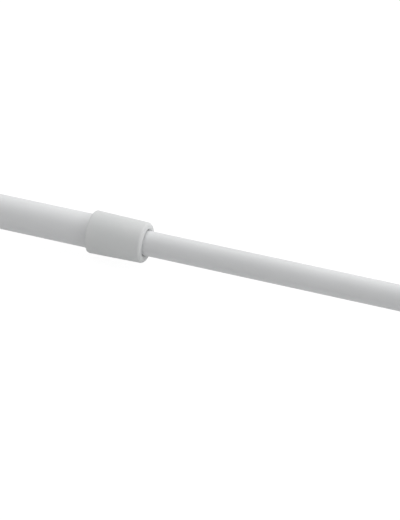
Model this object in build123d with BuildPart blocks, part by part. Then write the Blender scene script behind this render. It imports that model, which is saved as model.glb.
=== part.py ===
"""Telescopic net curtain rod with a sprung, twist-locked inner tube.

The rod lies along +X. Its origin is the middle of the fixed tip's end face, which presses on the window
reveal, and the other tip presses on the opposite reveal. Millimetres throughout.

Two painted steel tubes run one inside the other, and a moulded collar on the wide tube guides the narrow one.
Inside, a split sleeve grips the wide tube when a cone nut is drawn into it by turning the narrow tube, and a
coil spring between the sleeve's spindle and the narrow tube presses the two tips apart.
"""

import os
from math import cos, sin, tau

from build123d import *

# Wide tube
outer_diameter = 11.0
outer_wall = 0.4
outer_length = 274.0

# Narrow tube, and the length of the whole rod as it is set in the photograph
inner_diameter = 8.0
inner_wall = 0.4
inner_length = 246.0
rest_length = 400.0

# Collar: a tapered ferrule pushed over the wide tube's mouth
collar_grip = 14.3
collar_lip = 4.3
collar_socket_relief = 0.2
collar_socket_wall = 1.2
collar_bore_gap = 0.25
collar_nose_wall = 2.25
collar_lead_in = 1.5
collar_lead_in_flare = 0.45
collar_rib_count = 6
collar_rib_width = 1.0
collar_nose_round = 0.8
collar_tube_end_break = 0.5

# Push fits and running fits, each a gap on the radius
push_gap = 0.02
slide_gap = 0.2
seat_gap = 0.05

# Soft tips and the plugs that close the tubes under them
tip_pad = 2.4
tip_skirt = 12.0
tip_skirt_wall = 1.5
tip_flange = 1.4
tip_flange_height = 2.6
plug_head = 1.2
plug_shank = 8.0
plug_wall = 1.0
plug_slot_width = 1.2

# Guide bush in the narrow tube's inner end, running in the wide tube
bush_flange = 3.0
bush_shank = 14.0
bush_groove_count = 3
bush_groove_radius = 0.6
bush_lead_in = 0.5
hex_gap = 0.15

# Spindle: hexagonal shank, round shoulder, threaded end with a peened head
hex_width = 3.4
shoulder_diameter = 8.6
shoulder_thickness = 2.0
thread_diameter = 3.4
thread_running_gap = 0.05
thread_clearance = 0.15
peened_diameter = 4.6
peened_thickness = 0.8
spindle_tail = 1.2

# Retaining clip in a groove near the spindle's inner end
clip_diameter = 6.4
clip_thickness = 0.5
clip_groove_diameter = 2.4
clip_rim = 0.8
clip_lug_width = 1.1
clip_opening = 2.2
clip_side_gap = 0.05

# Coil spring round the spindle
spring_wire = 0.9
spring_mean_diameter = 7.0
spring_length = 26.0
spring_active_coils = 5
spring_closed_gap = 0.1
spring_steps_per_turn = 12
spring_wire_sides = 8

# Split lock sleeve and the cone nut that spreads it
sleeve_gap = 0.15
sleeve_mouth_wall = 0.9
sleeve_cone_length = 9.0
sleeve_cone_base_radius = 2.6
sleeve_base = 4.0
sleeve_slit_count = 3
sleeve_slit_width = 1.1
sleeve_slit_run_out = 1.0
nut_length = 7.0
nut_draw = 2.0
nut_cone_gap = 0.08
nut_key_gap = 0.12
nut_key_inset = 0.4
nut_head_gap = 0.6

# Radii that follow
outer_radius = outer_diameter / 2
outer_bore_radius = outer_radius - outer_wall
inner_radius = inner_diameter / 2
inner_bore_radius = inner_radius - inner_wall

# Stations along the rod
outer_start = tip_pad + plug_head
outer_end = outer_start + outer_length
collar_start = outer_end - collar_grip
collar_end = outer_end + collar_lip
inner_end = rest_length - tip_pad - plug_head
inner_start = inner_end - inner_length
bush_start = inner_start - bush_flange
bush_end = inner_start + bush_shank
spring_start = bush_start - spring_length
shoulder_start = spring_start - shoulder_thickness
sleeve_end = shoulder_start - seat_gap
sleeve_length = sleeve_base + sleeve_cone_length
sleeve_mouth = sleeve_end - sleeve_length
nut_start = sleeve_mouth - nut_draw
thread_end = nut_start - nut_head_gap
clip_start = bush_end + seat_gap
spindle_end = clip_start + clip_thickness + clip_side_gap + spindle_tail

FIXED_END = Plane(origin=(0, 0, 0), x_dir=(1, 0, 0), z_dir=(0, -1, 0))
MOVING_END = Plane(origin=(rest_length, 0, 0), x_dir=(-1, 0, 0), z_dir=(0, 1, 0))


def across(station):
    """The plane square to the rod at a station, its normal along +X."""
    return Plane.YZ.offset(station)


def make_tube(diameter, wall, start, length):
    """A painted steel tube, cut square at both ends."""
    with BuildPart() as tube:
        with BuildSketch(across(start)):
            Circle(diameter / 2)
            Circle(diameter / 2 - wall, mode=Mode.SUBTRACT)
        extrude(amount=length)
    return tube


def make_plug(end, tube_diameter, wall):
    """A moulded plug: its head closes the tube, and its slotted hollow shank springs against the bore."""
    head_radius = tube_diameter / 2
    shank_radius = tube_diameter / 2 - wall - push_gap
    hollow_radius = shank_radius - plug_wall
    head_top = tip_pad + plug_head
    shank_top = head_top + plug_shank
    with BuildPart() as plug:
        with BuildSketch(end):
            with BuildLine():
                Polyline(
                    (tip_pad, 0),
                    (tip_pad, head_radius),
                    (head_top, head_radius),
                    (head_top, shank_radius),
                    (shank_top, shank_radius),
                    (shank_top, hollow_radius),
                    (head_top, hollow_radius),
                    (head_top, 0),
                    close=True,
                )
            make_face()
        revolve(axis=Axis(end.origin, end.x_dir))
        slot_plane = Plane(end.origin + end.x_dir * shank_top, z_dir=-end.x_dir)
        with BuildSketch(slot_plane):
            Rectangle(2 * tube_diameter, plug_slot_width)
        extrude(amount=plug_shank - plug_wall, mode=Mode.SUBTRACT)
    return plug


def make_tip(end, tube_diameter):
    """A soft tip: a skirt over the tube's end, a flange, and a thick face that presses on the wall."""
    socket_radius = tube_diameter / 2 + push_gap
    skirt_radius = socket_radius + tip_skirt_wall
    flange_radius = skirt_radius + tip_flange
    lip_top = tip_pad + plug_head + tip_skirt
    with BuildPart() as tip:
        with BuildSketch(end):
            with BuildLine():
                Polyline(
                    (0, 0),
                    (0, flange_radius),
                    (tip_flange_height, flange_radius),
                    (tip_flange_height, skirt_radius),
                    (lip_top, skirt_radius),
                    (lip_top, socket_radius),
                    (tip_pad, socket_radius),
                    (tip_pad, 0),
                    close=True,
                )
            make_face()
        revolve(axis=Axis(end.origin, end.x_dir))
    return tip


outer_tube = make_tube(outer_diameter, outer_wall, outer_start, outer_length)
outer_tube.part.label = "outer_tube"

inner_tube = make_tube(inner_diameter, inner_wall, inner_start, inner_length)
inner_tube.part.label = "inner_tube"

outer_plug = make_plug(FIXED_END, outer_diameter, outer_wall)
outer_plug.part.label = "outer_plug"

inner_plug = make_plug(MOVING_END, inner_diameter, inner_wall)
inner_plug.part.label = "inner_plug"

outer_tip = make_tip(FIXED_END, outer_diameter)
outer_tip.part.label = "outer_tip"

inner_tip = make_tip(MOVING_END, inner_diameter)
inner_tip.part.label = "inner_tip"

# Collar: the socket stands clear of the tube, and crush ribs in it grip the tube. The bore opens towards
# the nose, so that the narrow tube slides in without scraping its paint.
with BuildPart() as collar:
    socket_radius = outer_radius + collar_socket_relief
    bore_radius = inner_radius + collar_bore_gap
    with BuildSketch(Plane.XZ):
        with BuildLine():
            Polyline(
                (collar_start, socket_radius),
                (collar_start, socket_radius + collar_socket_wall),
                (collar_end, bore_radius + collar_nose_wall),
                (collar_end, bore_radius + collar_lead_in_flare),
                (collar_end - collar_lead_in, bore_radius),
                (outer_end, bore_radius),
                (outer_end, socket_radius),
                close=True,
            )
        make_face()
    revolve(axis=Axis.X)
    rims = collar.edges().filter_by(GeomType.CIRCLE).group_by(Axis.X)
    nose_rim = rims[-1].sort_by(SortBy.RADIUS)[-1]
    tube_end_rim = rims[0].sort_by(SortBy.RADIUS)[-1]
    fillet(nose_rim, collar_nose_round)
    chamfer(tube_end_rim, collar_tube_end_break)
    with BuildSketch(across(collar_start)):
        rib_middle = outer_radius + push_gap + collar_socket_relief / 2
        with PolarLocations(rib_middle, collar_rib_count):
            Rectangle(collar_socket_relief, collar_rib_width)
        Circle(outer_radius + push_gap, mode=Mode.SUBTRACT)
        Circle(socket_radius + push_gap, mode=Mode.INTERSECT)
    extrude(amount=collar_grip)
collar.part.label = "collar"

# Guide bush: the flange runs in the wide tube, the grooved shank is pressed into the narrow one
with BuildPart() as guide_bush:
    flange_radius = outer_bore_radius - slide_gap
    shank_radius = inner_bore_radius - push_gap
    with BuildSketch(across(bush_start)):
        Circle(flange_radius)
    extrude(amount=bush_flange)
    with BuildSketch(across(inner_start)):
        Circle(shank_radius)
        with PolarLocations(shank_radius, bush_groove_count):
            Circle(bush_groove_radius, mode=Mode.SUBTRACT)
    extrude(amount=bush_shank)
    chamfer(guide_bush.faces().sort_by(Axis.X)[-1].outer_wire().edges(), bush_lead_in)
    with BuildSketch(across(bush_start)):
        RegularPolygon(hex_width / 2 + hex_gap, 6, major_radius=False)
    extrude(amount=bush_flange + bush_shank, mode=Mode.SUBTRACT)
guide_bush.part.label = "guide_bush"

# Spindle: one steel piece, its head peened over once the nut is on
with BuildPart() as spindle:
    with BuildSketch(Plane.XZ):
        with BuildLine():
            Polyline(
                (thread_end - peened_thickness, 0),
                (thread_end - peened_thickness, peened_diameter / 2),
                (thread_end, peened_diameter / 2),
                (thread_end, thread_diameter / 2),
                (shoulder_start, thread_diameter / 2),
                (shoulder_start, shoulder_diameter / 2),
                (spring_start, shoulder_diameter / 2),
                (spring_start, 0),
                close=True,
            )
        make_face()
    revolve(axis=Axis.X)
    chamfer(spindle.edges().filter_by(GeomType.CIRCLE).group_by(Axis.X)[0], peened_thickness / 2)
    with BuildSketch(across(spring_start)):
        RegularPolygon(hex_width / 2, 6, major_radius=False)
    extrude(amount=spindle_end - spring_start)
    with BuildSketch(across(clip_start - clip_side_gap)):
        Circle(hex_width)
        Circle(clip_groove_diameter / 2, mode=Mode.SUBTRACT)
    extrude(amount=clip_thickness + 2 * clip_side_gap, mode=Mode.SUBTRACT)
spindle.part.label = "spindle"

# Retaining clip: an open ring with three lugs that reach into the groove
with BuildPart() as spindle_clip:
    rim_radius = clip_diameter / 2
    with BuildSketch(across(clip_start)):
        Circle(rim_radius)
        Circle(rim_radius - clip_rim, mode=Mode.SUBTRACT)
        lug_reach = rim_radius - clip_rim / 2
        for turn in (90, 180, 270):
            with Locations(Rotation(0, 0, turn)):
                with Locations((lug_reach / 2, 0)):
                    Rectangle(lug_reach, clip_lug_width)
        Circle(clip_groove_diameter / 2 + push_gap, mode=Mode.SUBTRACT)
        with Locations((rim_radius / 2, 0)):
            Rectangle(rim_radius + clip_rim, clip_opening, mode=Mode.SUBTRACT)
    extrude(amount=clip_thickness)
spindle_clip.part.label = "spindle_clip"

# Coil spring: open turns between two closed end turns, seated on the shoulder and the guide bush
with BuildPart() as spring:
    wire_radius = spring_wire / 2
    coil_radius = spring_mean_diameter / 2
    coil_start = spring_start + seat_gap + wire_radius
    coil_rise = spring_length - 2 * seat_gap - spring_wire
    closed_pitch = spring_wire + spring_closed_gap
    open_pitch = (coil_rise - 2 * closed_pitch) / spring_active_coils
    turn_count = spring_active_coils + 2
    path = []
    for step in range(turn_count * spring_steps_per_turn + 1):
        turn = step / spring_steps_per_turn
        closed_turns = min(turn, 1) + max(turn - turn_count + 1, 0)
        station = coil_start + closed_turns * closed_pitch + (turn - closed_turns) * open_pitch
        path.append((station, coil_radius * cos(tau * turn), coil_radius * sin(tau * turn)))
    with BuildLine():
        coil = Polyline(*path)
    with BuildSketch(Plane(coil @ 0, z_dir=coil % 0)):
        RegularPolygon(wire_radius, spring_wire_sides)
    sweep(path=coil, transition=Transition.RIGHT)
spring.part.label = "spring"

# Lock sleeve: slit from its mouth and coned inside, so that the nut spreads it against the wide tube
mouth_radius = outer_bore_radius - sleeve_gap - sleeve_mouth_wall
cone_taper = (mouth_radius - sleeve_cone_base_radius) / sleeve_cone_length
with BuildPart() as lock_sleeve:
    sleeve_radius = outer_bore_radius - sleeve_gap
    stem_radius = thread_diameter / 2 + thread_clearance
    cone_base = sleeve_mouth + sleeve_cone_length
    with BuildSketch(Plane.XZ):
        with BuildLine():
            Polyline(
                (sleeve_mouth, mouth_radius),
                (sleeve_mouth, sleeve_radius),
                (sleeve_end, sleeve_radius),
                (sleeve_end, stem_radius),
                (cone_base, stem_radius),
                (cone_base, sleeve_cone_base_radius),
                close=True,
            )
        make_face()
    revolve(axis=Axis.X)
    with BuildSketch(across(sleeve_mouth)):
        with PolarLocations(sleeve_radius / 2, sleeve_slit_count):
            Rectangle(sleeve_radius + sleeve_slit_width, sleeve_slit_width)
    extrude(amount=sleeve_cone_length + sleeve_slit_run_out, mode=Mode.SUBTRACT)
lock_sleeve.part.label = "lock_sleeve"

# Cone nut: its taper follows the sleeve's, and its keys run in the sleeve's slits
with BuildPart() as cone_nut:
    wide_radius = mouth_radius - nut_cone_gap
    narrow_radius = wide_radius - cone_taper * nut_length
    key_radius = sleeve_radius - nut_key_inset
    with BuildSketch(Plane.XZ):
        with BuildLine():
            Polyline(
                (nut_start, 0),
                (nut_start, wide_radius),
                (nut_start + nut_length, narrow_radius),
                (nut_start + nut_length, 0),
                close=True,
            )
        make_face()
    revolve(axis=Axis.X)
    with BuildSketch(across(nut_start)):
        with PolarLocations(key_radius / 2, sleeve_slit_count):
            Rectangle(key_radius, sleeve_slit_width - 2 * nut_key_gap)
    extrude(amount=nut_length)
    with BuildSketch(across(nut_start)):
        Circle(thread_diameter / 2 + thread_running_gap)
    extrude(amount=nut_length, mode=Mode.SUBTRACT)
cone_nut.part.label = "cone_nut"

os.makedirs("parts", exist_ok=True)
for piece in (
    outer_tube,
    inner_tube,
    collar,
    outer_plug,
    inner_plug,
    outer_tip,
    inner_tip,
    guide_bush,
    spindle,
    spindle_clip,
    spring,
    lock_sleeve,
    cone_nut,
):
    export_step(piece.part, f"parts/{piece.part.label}.step")
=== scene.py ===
"""A white telescopic rod for net curtains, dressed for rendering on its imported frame."""

from math import cos, hypot, pi, radians, sin

import bmesh
import bpy
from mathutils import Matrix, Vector


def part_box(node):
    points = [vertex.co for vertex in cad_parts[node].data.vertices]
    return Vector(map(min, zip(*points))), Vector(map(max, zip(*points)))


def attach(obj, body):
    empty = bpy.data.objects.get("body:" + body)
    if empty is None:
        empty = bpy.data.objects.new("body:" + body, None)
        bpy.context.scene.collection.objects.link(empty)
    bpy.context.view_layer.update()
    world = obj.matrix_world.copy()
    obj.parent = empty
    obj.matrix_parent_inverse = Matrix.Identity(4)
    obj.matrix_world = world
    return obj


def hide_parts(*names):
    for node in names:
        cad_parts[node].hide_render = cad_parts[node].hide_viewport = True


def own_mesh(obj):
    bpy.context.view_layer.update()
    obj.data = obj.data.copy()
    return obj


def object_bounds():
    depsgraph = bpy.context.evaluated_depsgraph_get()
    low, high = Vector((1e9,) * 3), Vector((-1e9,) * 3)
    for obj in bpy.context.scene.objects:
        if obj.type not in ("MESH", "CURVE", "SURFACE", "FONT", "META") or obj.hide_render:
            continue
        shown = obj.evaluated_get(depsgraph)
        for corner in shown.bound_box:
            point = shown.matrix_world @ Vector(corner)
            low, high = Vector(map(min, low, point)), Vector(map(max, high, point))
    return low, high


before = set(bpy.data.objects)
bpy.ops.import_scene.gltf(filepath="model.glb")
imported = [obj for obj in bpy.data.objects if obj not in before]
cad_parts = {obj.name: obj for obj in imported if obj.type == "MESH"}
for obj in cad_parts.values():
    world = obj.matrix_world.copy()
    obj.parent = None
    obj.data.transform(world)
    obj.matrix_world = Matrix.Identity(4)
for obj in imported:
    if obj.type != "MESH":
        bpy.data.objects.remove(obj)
cad_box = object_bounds()


# Wide tube: a steel strip rolled and seam-welded to 11 mm, then stoved with white paint.
# It is a satin coat with a faint orange-peel skin, and the sawn ends are lightly rounded.
wide_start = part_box("outer_tube")[0].x
wide_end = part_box("outer_tube")[1].x
wide_radius = 0.0055
tube_wall = 0.0004
tube_edge_round = 0.00012
round_facets = 192
smooth_below = radians(30)
station_fit = 0.000005
radius_fit = 0.00001


def linear(code):
    """An sRGB hex colour as the linear colour that a socket takes."""
    parts = [int(code[place:place + 2], 16) / 255 for place in (0, 2, 4)]
    return [p / 12.92 if p <= 0.04045 else ((p + 0.055) / 1.055) ** 2.4 for p in parts] + [1.0]


def add(tree, kind, links=(), **settings):
    """Adds a node, sets its properties and sockets by name, and links its inputs to other nodes' outputs."""
    node = tree.nodes.new(kind)
    for name, value in settings.items():
        if hasattr(node, name):
            setattr(node, name, value)
        else:
            node.inputs[name.replace("_", " ")].default_value = value
    for socket, source in dict(links).items():
        tree.links.new(node.inputs[socket], source)
    return node


def off_axis(point):
    """How far a point lies from the rod's axis."""
    return hypot(point.y, point.z)


def lay_cylinder(name, radius, start, end, ends):
    """A cylinder along the rod from one station to another, open or capped."""
    bpy.ops.object.select_all(action="DESELECT")
    bpy.ops.mesh.primitive_cylinder_add(
        vertices=round_facets,
        radius=radius,
        depth=end - start,
        end_fill_type=ends,
        location=((start + end) / 2, 0, 0),
        rotation=(0, pi / 2, 0),
    )
    piece = bpy.context.object
    piece.name = name
    piece.data.name = name
    bpy.ops.object.transform_apply(location=True, rotation=True, scale=True)
    return piece


def pick(piece, kind, wanted):
    """Goes into edit mode and selects the faces or edges of a piece whose middle passes a test."""
    bpy.context.view_layer.objects.active = piece
    bpy.ops.object.mode_set(mode="EDIT")
    bpy.ops.mesh.select_mode(type=kind)
    bpy.ops.mesh.select_all(action="DESELECT")
    mesh = bmesh.from_edit_mesh(piece.data)
    for part in mesh.faces if kind == "FACE" else mesh.edges:
        middle = sum((corner.co for corner in part.verts), Vector()) / len(part.verts)
        part.select_set(wanted(middle))
    bmesh.update_edit_mesh(piece.data)


def round_rim(piece, station, radius, offset, segments):
    """Rounds the circular edge of a piece that lies at a station along the rod and a radius."""
    pick(
        piece,
        "EDGE",
        lambda m: abs(m.x - station) < station_fit and abs(off_axis(m) - radius) < radius_fit,
    )
    bpy.ops.mesh.bevel(offset=offset, segments=segments, profile=0.5)
    bpy.ops.object.mode_set(mode="OBJECT")


def finish_piece(piece, material, body, node):
    """Smooths the round faces, paints the piece, and lets it ride on its body in place of the plain node."""
    bpy.ops.object.select_all(action="DESELECT")
    piece.select_set(True)
    bpy.context.view_layer.objects.active = piece
    bpy.ops.object.shade_smooth_by_angle(angle=smooth_below)
    piece.data.materials.append(material)
    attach(piece, body)
    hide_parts(node)


def make_tube(name, radius, start, end):
    """An open tube with its wall inside the given radius and its four rims rounded."""
    tube = lay_cylinder(name, radius, start, end, "NOTHING")
    tube.modifiers.new("wall", "SOLIDIFY").thickness = tube_wall
    tube.modifiers["wall"].offset = -1
    bpy.ops.object.modifier_apply(modifier="wall")
    for station in (start, end):
        for rim_radius in (radius, radius - tube_wall):
            round_rim(tube, station, rim_radius, tube_edge_round, segments=3)
    return tube


# Stoved satin enamel: an even cool white with a soft sheen. Its mottle is a faint change of tone
# over some 30 mm, and its orange peel has cells of about 0.8 mm, a few micrometres high.
enamel_dark = "DEDFE0"
enamel_light = "E2E3E4"
enamel_smoothest = 0.42
enamel_roughest = 0.52
mottle_size = 0.030
sheen_size = 0.006
peel_size = 0.0008
peel_height = 0.000004


def start_material(name):
    """A new material: itself, its node tree, its shader, and the place on the piece in metres."""
    material = bpy.data.materials.new(name)
    material.use_nodes = True
    tree = material.node_tree
    place = add(tree, "ShaderNodeTexCoord").outputs["Object"]
    return material, tree, tree.nodes["Principled BSDF"], place


def join_surface(tree, shader, tone, gloss, skin):
    """Links a material's colours, roughness and relief to its shader."""
    tree.links.new(shader.inputs["Base Color"], tone.outputs["Color"])
    tree.links.new(shader.inputs["Roughness"], gloss.outputs["Result"])
    tree.links.new(shader.inputs["Normal"], skin.outputs["Normal"])


white_enamel, tree, shader, place = start_material("stoved_satin_enamel")
mottle = add(tree, "ShaderNodeTexNoise", {"Vector": place}, Scale=1 / mottle_size, Detail=4.0)
tone = add(tree, "ShaderNodeValToRGB", {"Fac": mottle.outputs["Fac"]})
tone.color_ramp.elements[0].position = 0.3
tone.color_ramp.elements[0].color = linear(enamel_dark)
tone.color_ramp.elements[1].position = 0.7
tone.color_ramp.elements[1].color = linear(enamel_light)
sheen = add(tree, "ShaderNodeTexNoise", {"Vector": place}, Scale=1 / sheen_size, Detail=2.0)
gloss = add(
    tree,
    "ShaderNodeMapRange",
    {"Value": sheen.outputs["Fac"]},
    To_Min=enamel_smoothest,
    To_Max=enamel_roughest,
)
peel = add(tree, "ShaderNodeTexNoise", {"Vector": place}, Scale=1 / peel_size, Detail=1.0)
skin = add(tree, "ShaderNodeBump", {"Height": peel.outputs["Fac"]}, Strength=1.0, Distance=peel_height)
shader.inputs["IOR"].default_value = 1.5
shader.inputs["Specular IOR Level"].default_value = 0.3
join_surface(tree, shader, tone, gloss, skin)

wide_tube = make_tube("wide_tube", wide_radius, wide_start, wide_end)
finish_piece(wide_tube, white_enamel, "outer", "outer_tube")


# Narrow tube: the same strip steel at 8 mm under the same enamel, with its sawn ends rounded in the same
# way. It slides in the wide tube through the collar, and its hidden end carries the guide bush.
narrow_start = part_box("inner_tube")[0].x
narrow_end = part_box("inner_tube")[1].x
narrow_radius = 0.004

narrow_tube = make_tube("narrow_tube", narrow_radius, narrow_start, narrow_end)
finish_piece(narrow_tube, white_enamel, "inner", "inner_tube")


# Collar: a tapered ferrule injection-moulded in white polypropylene and pushed over the wide tube's
# mouth. It hides the tube's sawn edge, and its rounded nose guides the narrow tube.
collar_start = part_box("collar")[0].x
collar_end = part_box("collar")[1].x
collar_grip = wide_end - collar_start
collar_lip = collar_end - wide_end
collar_radius = 0.0069
nose_radius = 0.0065
bore_radius = 0.00425
mouth_radius = 0.0047
lead_in = 0.0006
socket_gap = 0.0001
socket_radius = wide_radius + socket_gap
nose_round = 0.0011
mouth_round = 0.0003
tube_end_round = 0.0006
weld_distance = 0.00001


def draw_out(distance):
    """Extrudes the picked face by a distance along the rod."""
    bpy.ops.mesh.extrude_region_move(TRANSFORM_OT_translate={"value": (distance, 0, 0)})


def swell(share, station):
    """Widens or narrows the picked face about the rod's axis, at its station."""
    bpy.ops.transform.resize(value=(1, share, share), center_override=(station, 0, 0))


collar = lay_cylinder("tapered_collar", collar_radius, collar_start, collar_end, "NGON")
pick(collar, "FACE", lambda m: abs(m.x - collar_end) < station_fit)
swell(nose_radius / collar_radius, collar_end)
bpy.ops.mesh.inset(thickness=nose_radius - mouth_radius)
draw_out(-lead_in)
swell(bore_radius / mouth_radius, collar_end - lead_in)
draw_out(lead_in - collar_lip)
bpy.ops.mesh.delete(type="ONLY_FACE")
pick(collar, "FACE", lambda m: abs(m.x - collar_start) < station_fit)
bpy.ops.mesh.inset(thickness=collar_radius - socket_radius)
draw_out(collar_grip)
bpy.ops.mesh.inset(thickness=socket_radius - bore_radius)
bpy.ops.mesh.delete(type="ONLY_FACE")
bpy.ops.mesh.select_all(action="SELECT")
bpy.ops.mesh.remove_doubles(threshold=weld_distance)
bpy.ops.object.mode_set(mode="OBJECT")
round_rim(collar, collar_end, nose_radius, nose_round, segments=10)
round_rim(collar, collar_end, mouth_radius, mouth_round, segments=4)
round_rim(collar, collar_start, collar_radius, tube_end_round, segments=8)

# Moulded polypropylene: a matt, slightly milky white. Flow in the mould leaves a faint change of
# tone over some 8 mm, and the spark-eroded mould leaves a grain of about 0.4 mm.
collar_dark = "DADCDC"
collar_light = "DFE0E0"
collar_smoothest = 0.50
collar_roughest = 0.64
collar_flow_size = 0.008
collar_grain_size = 0.0004
collar_grain_height = 0.000006

polypropylene, tree, shader, place = start_material("matt_moulded_polypropylene")
flow = add(tree, "ShaderNodeTexNoise", {"Vector": place}, Scale=1 / collar_flow_size, Detail=3.0)
tone = add(tree, "ShaderNodeValToRGB", {"Fac": flow.outputs["Fac"]})
tone.color_ramp.elements[0].position = 0.3
tone.color_ramp.elements[0].color = linear(collar_dark)
tone.color_ramp.elements[1].position = 0.7
tone.color_ramp.elements[1].color = linear(collar_light)
grain = add(tree, "ShaderNodeTexNoise", {"Vector": place}, Scale=1 / collar_grain_size, Detail=2.0)
gloss = add(
    tree,
    "ShaderNodeMapRange",
    {"Value": grain.outputs["Fac"]},
    To_Min=collar_smoothest,
    To_Max=collar_roughest,
)
skin = add(
    tree,
    "ShaderNodeBump",
    {"Height": grain.outputs["Fac"]},
    Strength=1.0,
    Distance=collar_grain_height,
)
shader.inputs["IOR"].default_value = 1.49
shader.inputs["Specular IOR Level"].default_value = 0.1
join_surface(tree, shader, tone, gloss, skin)
finish_piece(collar, polypropylene, "outer", "collar")


# Soft tips: cups moulded in off-white thermoplastic rubber and pushed over the tube ends. A broad foot
# with ring grooves grips the side of the window recess, and a hidden plug closes the tube behind it.
tip_pad = 0.0024
flange_height = 0.0026
flange_round = 0.0005
root_round = 0.0006
lip_round = 0.0004
skirt_wall = 0.0015
flange_reach = 0.0014
press_gap = 0.00002
ring_depth = 0.0003
ring_width = 0.0006
ring_pitch = 0.0016
ring_margin = 0.0013
ring_round = 0.0001
ring_count = 3
frame_middle = (cad_box[0].x + cad_box[1].x) / 2


def make_tip(name, node, tube_radius):
    """A tip with its foot where the node's is: the skirt, its flange, the socket and the foot's rings."""
    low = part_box(node)[0].x
    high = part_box(node)[1].x
    at_start = low < frame_middle
    foot = low if at_start else high
    lip = high if at_start else low
    inward = 1 if at_start else -1
    socket = tube_radius + press_gap
    skirt = socket + skirt_wall
    flange = skirt + flange_reach
    shelf = foot + inward * flange_height
    tip = lay_cylinder(name, skirt, min(shelf, lip), max(shelf, lip), "NGON")
    pick(tip, "FACE", lambda m: abs(m.x - shelf) < station_fit)
    draw_out(0)
    swell(flange / skirt, shelf)
    draw_out(foot - shelf)
    pick(tip, "FACE", lambda m: abs(m.x - lip) < station_fit)
    bpy.ops.mesh.inset(thickness=skirt_wall)
    draw_out(foot + inward * tip_pad - lip)
    bpy.ops.object.mode_set(mode="OBJECT")
    round_rim(tip, foot, flange, flange_round, segments=6)
    round_rim(tip, shelf, flange, flange_round, segments=6)
    round_rim(tip, shelf, skirt, root_round, segments=6)
    round_rim(tip, lip, skirt, lip_round, segments=5)
    pick(tip, "FACE", lambda m: abs(m.x - foot) < station_fit and off_axis(m) < radius_fit)
    bpy.ops.mesh.inset(thickness=ring_margin - flange_round)
    for ring in range(ring_count):
        draw_out(inward * ring_depth)
        bpy.ops.mesh.inset(thickness=ring_width)
        draw_out(-inward * ring_depth)
        bpy.ops.mesh.inset(thickness=ring_pitch - ring_width)
    bpy.ops.object.mode_set(mode="OBJECT")
    for ring in range(ring_count):
        ring_radius = flange - ring_margin - ring * ring_pitch
        round_rim(tip, foot, ring_radius, ring_round, segments=2)
        round_rim(tip, foot, ring_radius - ring_width, ring_round, segments=2)
    return tip


# Thermoplastic rubber: dead matt and slightly warm beside the paint. It picks up a little dust, seen as
# a soft change of tone over some 3 mm, and its mould's grain is about 0.5 mm.
rubber_dark = "CFCFCA"
rubber_light = "D9D8D3"
rubber_smoothest = 0.66
rubber_roughest = 0.82
dust_size = 0.003
rubber_grain_size = 0.0005
rubber_grain_height = 0.000012

soft_rubber, tree, shader, place = start_material("moulded_thermoplastic_rubber")
dust = add(tree, "ShaderNodeTexNoise", {"Vector": place}, Scale=1 / dust_size, Detail=5.0)
tone = add(tree, "ShaderNodeValToRGB", {"Fac": dust.outputs["Fac"]})
tone.color_ramp.elements[0].position = 0.25
tone.color_ramp.elements[0].color = linear(rubber_dark)
tone.color_ramp.elements[1].position = 0.75
tone.color_ramp.elements[1].color = linear(rubber_light)
grain = add(tree, "ShaderNodeTexNoise", {"Vector": place}, Scale=1 / rubber_grain_size, Detail=3.0)
gloss = add(
    tree,
    "ShaderNodeMapRange",
    {"Value": dust.outputs["Fac"]},
    To_Min=rubber_smoothest,
    To_Max=rubber_roughest,
)
skin = add(
    tree,
    "ShaderNodeBump",
    {"Height": grain.outputs["Fac"]},
    Strength=1.0,
    Distance=rubber_grain_height,
)
shader.inputs["IOR"].default_value = 1.5
shader.inputs["Specular IOR Level"].default_value = 0.3
join_surface(tree, shader, tone, gloss, skin)

wide_tip = make_tip("wide_tip", "outer_tip", wide_radius)
finish_piece(wide_tip, soft_rubber, "outer", "outer_tip")
narrow_tip = make_tip("narrow_tip", "inner_tip", narrow_radius)
finish_piece(narrow_tip, soft_rubber, "inner", "inner_tip")


# Hidden mouldings: the end plugs, guide bush, lock sleeve and cone nut keep their plain nodes, in
# undyed acetal. It is an ivory white with a soft gloss, smooth from a polished mould but for a faint ripple.
acetal_dark = "D8D5CA"
acetal_light = "E4E1D8"
acetal_smoothest = 0.28
acetal_roughest = 0.42
acetal_flow_size = 0.004
ripple_size = 0.0012
ripple_height = 0.000005

acetal, tree, shader, place = start_material("undyed_moulded_acetal")
flow = add(tree, "ShaderNodeTexNoise", {"Vector": place}, Scale=1 / acetal_flow_size, Detail=3.0)
tone = add(tree, "ShaderNodeValToRGB", {"Fac": flow.outputs["Fac"]})
tone.color_ramp.elements[0].color = linear(acetal_dark)
tone.color_ramp.elements[1].color = linear(acetal_light)
gloss = add(
    tree,
    "ShaderNodeMapRange",
    {"Value": flow.outputs["Fac"]},
    To_Min=acetal_smoothest,
    To_Max=acetal_roughest,
)
ripple = add(tree, "ShaderNodeTexNoise", {"Vector": place}, Scale=1 / ripple_size, Detail=1.0)
skin = add(tree, "ShaderNodeBump", {"Height": ripple.outputs["Fac"]}, Strength=1.0, Distance=ripple_height)
shader.inputs["IOR"].default_value = 1.48
join_surface(tree, shader, tone, gloss, skin)
for name in ("outer_plug", "inner_plug", "guide_bush", "lock_sleeve", "cone_nut"):
    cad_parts[name].data.materials.clear()
    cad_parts[name].data.materials.append(acetal)


# Hidden steel: the spindle, turned from drawn bar, and the retaining clip in its groove keep their plain
# nodes. Both are under bright zinc, with fine draw lines along the rod.
zinc_dark = "B4B8BB"
zinc_light = "CDD0D2"
zinc_smoothest = 0.22
zinc_roughest = 0.38
bloom_size = 0.002
line_spacing = 0.0003
line_depth = 0.000006
line_stretch = 0.05

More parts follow.
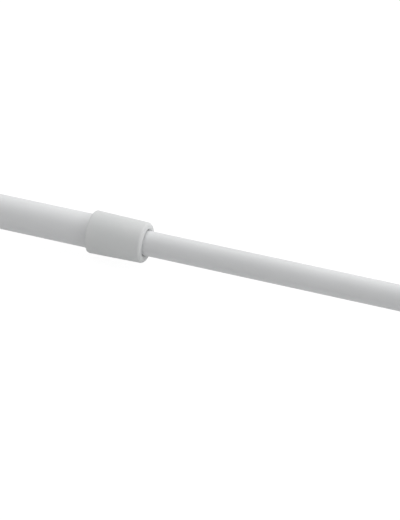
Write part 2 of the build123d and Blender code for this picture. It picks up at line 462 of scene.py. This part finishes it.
bright_zinc, tree, shader, place = start_material("bright_zinc_on_drawn_steel")
along = add(tree, "ShaderNodeMapping", {"Vector": place}, Scale=(line_stretch, 1.0, 1.0))
lines = add(
    tree,
    "ShaderNodeTexNoise",
    {"Vector": along.outputs["Vector"]},
    Scale=1 / line_spacing,
    Detail=2.0,
)
bloom = add(tree, "ShaderNodeTexNoise", {"Vector": place}, Scale=1 / bloom_size, Detail=4.0)
tone = add(tree, "ShaderNodeValToRGB", {"Fac": bloom.outputs["Fac"]})
tone.color_ramp.elements[0].color = linear(zinc_dark)
tone.color_ramp.elements[1].color = linear(zinc_light)
gloss = add(
    tree,
    "ShaderNodeMapRange",
    {"Value": bloom.outputs["Fac"]},
    To_Min=zinc_smoothest,
    To_Max=zinc_roughest,
)
skin = add(tree, "ShaderNodeBump", {"Height": lines.outputs["Fac"]}, Strength=1.0, Distance=line_depth)
shader.inputs["Metallic"].default_value = 1.0
join_surface(tree, shader, tone, gloss, skin)
for name in ("spindle", "spindle_clip"):
    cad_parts[name].data.materials.clear()
    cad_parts[name].data.materials.append(bright_zinc)


# Coil spring: hard-drawn wire of 0.9 mm in the same zinc, wound 7 mm across the middle of the wire, with
# five open turns between two closed ones. It stands between the spindle's shoulder and the guide bush. On
# the real rod it shortens when the narrow tube is pressed in; here it is built at its rest length and rides
# on the spindle.
spring_length = 0.026
spring_seat_gap = 0.00005
wire_radius = 0.00045
coil_radius = 0.0035
open_turns = 5
closed_pitch = 0.001
steps_per_turn = 32
wire_roundness = 6
spring_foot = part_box("guide_bush")[0].x - spring_length
coil_start = spring_foot + spring_seat_gap + wire_radius
coil_rise = spring_length - 2 * (spring_seat_gap + wire_radius)
open_pitch = (coil_rise - 2 * closed_pitch) / open_turns
all_turns = open_turns + 2

wire = bpy.data.curves.new("coil_spring", "CURVE")
wire.dimensions = "3D"
wire.bevel_depth = wire_radius
wire.bevel_resolution = wire_roundness
wire.use_fill_caps = True
winding = wire.splines.new("POLY")
winding.points.add(all_turns * steps_per_turn)
for step, point in enumerate(winding.points):
    turn = step / steps_per_turn
    closed = min(turn, 1) + max(turn - all_turns + 1, 0)
    station = coil_start + closed * closed_pitch + (turn - closed) * open_pitch
    angle = 2 * pi * turn
    point.co = (station, coil_radius * cos(angle), coil_radius * sin(angle), 1)
spring = bpy.data.objects.new("coil_spring", wire)
bpy.context.collection.objects.link(spring)
bpy.ops.object.select_all(action="DESELECT")
spring.select_set(True)
bpy.context.view_layer.objects.active = spring
bpy.ops.object.convert(target="MESH")
bpy.ops.object.mode_set(mode="EDIT")
bpy.ops.mesh.select_all(action="SELECT")
bpy.ops.mesh.remove_doubles(threshold=weld_distance)
bpy.ops.mesh.normals_make_consistent(inside=False)
bpy.ops.object.mode_set(mode="OBJECT")
finish_piece(spring, bright_zinc, "spindle", "spring")
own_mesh(spring)


# Floor: a plain pale paper sweep, on which the rod lies on its two tips. White is mixed into it for the
# camera, and it keeps the rod's shadow, which darkens the underside of the collar.
floor_width = 12.0
paper_colour = "ECECEC"
paper_roughness = 0.9
white_share = 0.85
white_level = 1.12


def shown_in_picture(tree):
    """1 for a ray that shows the surface itself, straight, mirrored or through glass, and 0 for others."""
    ray = add(tree, "ShaderNodeLightPath")
    seen_or_mirrored = add(
        tree,
        "ShaderNodeMath",
        {0: ray.outputs["Is Camera Ray"], 1: ray.outputs["Is Glossy Ray"]},
        operation="MAXIMUM",
    )
    shown = add(
        tree,
        "ShaderNodeMath",
        {0: seen_or_mirrored.outputs[0], 1: ray.outputs["Is Transmission Ray"]},
        operation="MAXIMUM",
    )
    return shown.outputs[0]


bpy.ops.object.select_all(action="DESELECT")
bpy.ops.mesh.primitive_plane_add(size=floor_width, location=(frame_middle, 0, cad_box[0].z))
floor = bpy.context.object
floor.name = "floor"
bpy.ops.object.transform_apply(location=True, rotation=True, scale=True)
pale_sweep = bpy.data.materials.new("pale_paper_sweep")
pale_sweep.use_nodes = True
tree = pale_sweep.node_tree
shader = tree.nodes["Principled BSDF"]
shader.inputs["Base Color"].default_value = linear(paper_colour)
shader.inputs["Roughness"].default_value = paper_roughness
shader.inputs["Specular IOR Level"].default_value = 0.0
wash = add(tree, "ShaderNodeMath", {0: shown_in_picture(tree)}, operation="MULTIPLY")
wash.inputs[1].default_value = white_share
glow = add(tree, "ShaderNodeEmission", Strength=white_level)
paper = add(
    tree,
    "ShaderNodeMixShader",
    {0: wash.outputs[0], 1: shader.outputs["BSDF"], 2: glow.outputs["Emission"]},
)
tree.links.new(tree.nodes["Material Output"].inputs["Surface"], paper.outputs["Shader"])
floor.data.materials.append(pale_sweep)


# Studio: a white surround in the picture and an even dim one for the light, with four large soft lamps
# above the rod, behind it and to its right. Those at the right light the faces across the rod too.
surround_level = 0.328
softbox_width = 1.3
softbox_height = 1.2
softboxes = (
    ("rear_softbox", (0, 1.05, 1.1), 8.3),
    ("rear_right_softbox", (1.6, 1.0, 0.7), 6.8),
    ("right_softbox", (2.2, -0.3, 0.7), 9.1),
    ("overhead_softbox", (0, 0, 1.5), 6.9),
)

surround = bpy.data.worlds.new("studio_surround")
bpy.context.scene.world = surround
surround.use_nodes = True
tree = surround.node_tree
dim = tree.nodes["Background"]
dim.inputs["Color"].default_value = (1, 1, 1, 1)
dim.inputs["Strength"].default_value = surround_level
white = add(tree, "ShaderNodeBackground", Color=(1, 1, 1, 1), Strength=1.0)
sky = add(
    tree,
    "ShaderNodeMixShader",
    {0: shown_in_picture(tree), 1: dim.outputs["Background"], 2: white.outputs["Background"]},
)
tree.links.new(tree.nodes["World Output"].inputs["Surface"], sky.outputs["Shader"])

rod_middle = Vector((frame_middle, 0, 0))
for name, (across, back, height), power in softboxes:
    bpy.ops.object.select_all(action="DESELECT")
    bpy.ops.object.light_add(type="AREA", location=(frame_middle + across, back, height))
    lamp = bpy.context.object
    lamp.name = name
    lamp.data.shape = "RECTANGLE"
    lamp.data.size = softbox_width
    lamp.data.size_y = softbox_height
    lamp.data.energy = power
    lamp.rotation_euler = (rod_middle - lamp.location).to_track_quat("-Z", "Y").to_euler()
    lamp.visible_camera = False


# Camera: a long lens 0.7 m from the rod, above and to the right of square-on, aimed so that the collar
# falls where it does in the photograph.
camera_azimuth = radians(21.0)
camera_elevation = radians(34.54)
camera_distance = 0.7
camera_aim = Vector((0.29959, 0, -0.00202))
camera_lens = 155.41
sensor_width = 36.0
towards = Vector(
    (
        sin(camera_azimuth) * cos(camera_elevation),
        -cos(camera_azimuth) * cos(camera_elevation),
        sin(camera_elevation),
    )
)

bpy.ops.object.camera_add(location=camera_aim + towards * camera_distance)
camera = bpy.context.object
camera.name = "camera"
camera.rotation_euler = (-towards).to_track_quat("-Z", "Y").to_euler()
camera.data.lens = camera_lens
camera.data.sensor_width = sensor_width
bpy.context.scene.camera = camera
bpy.context.scene.view_settings.view_transform = "Standard"
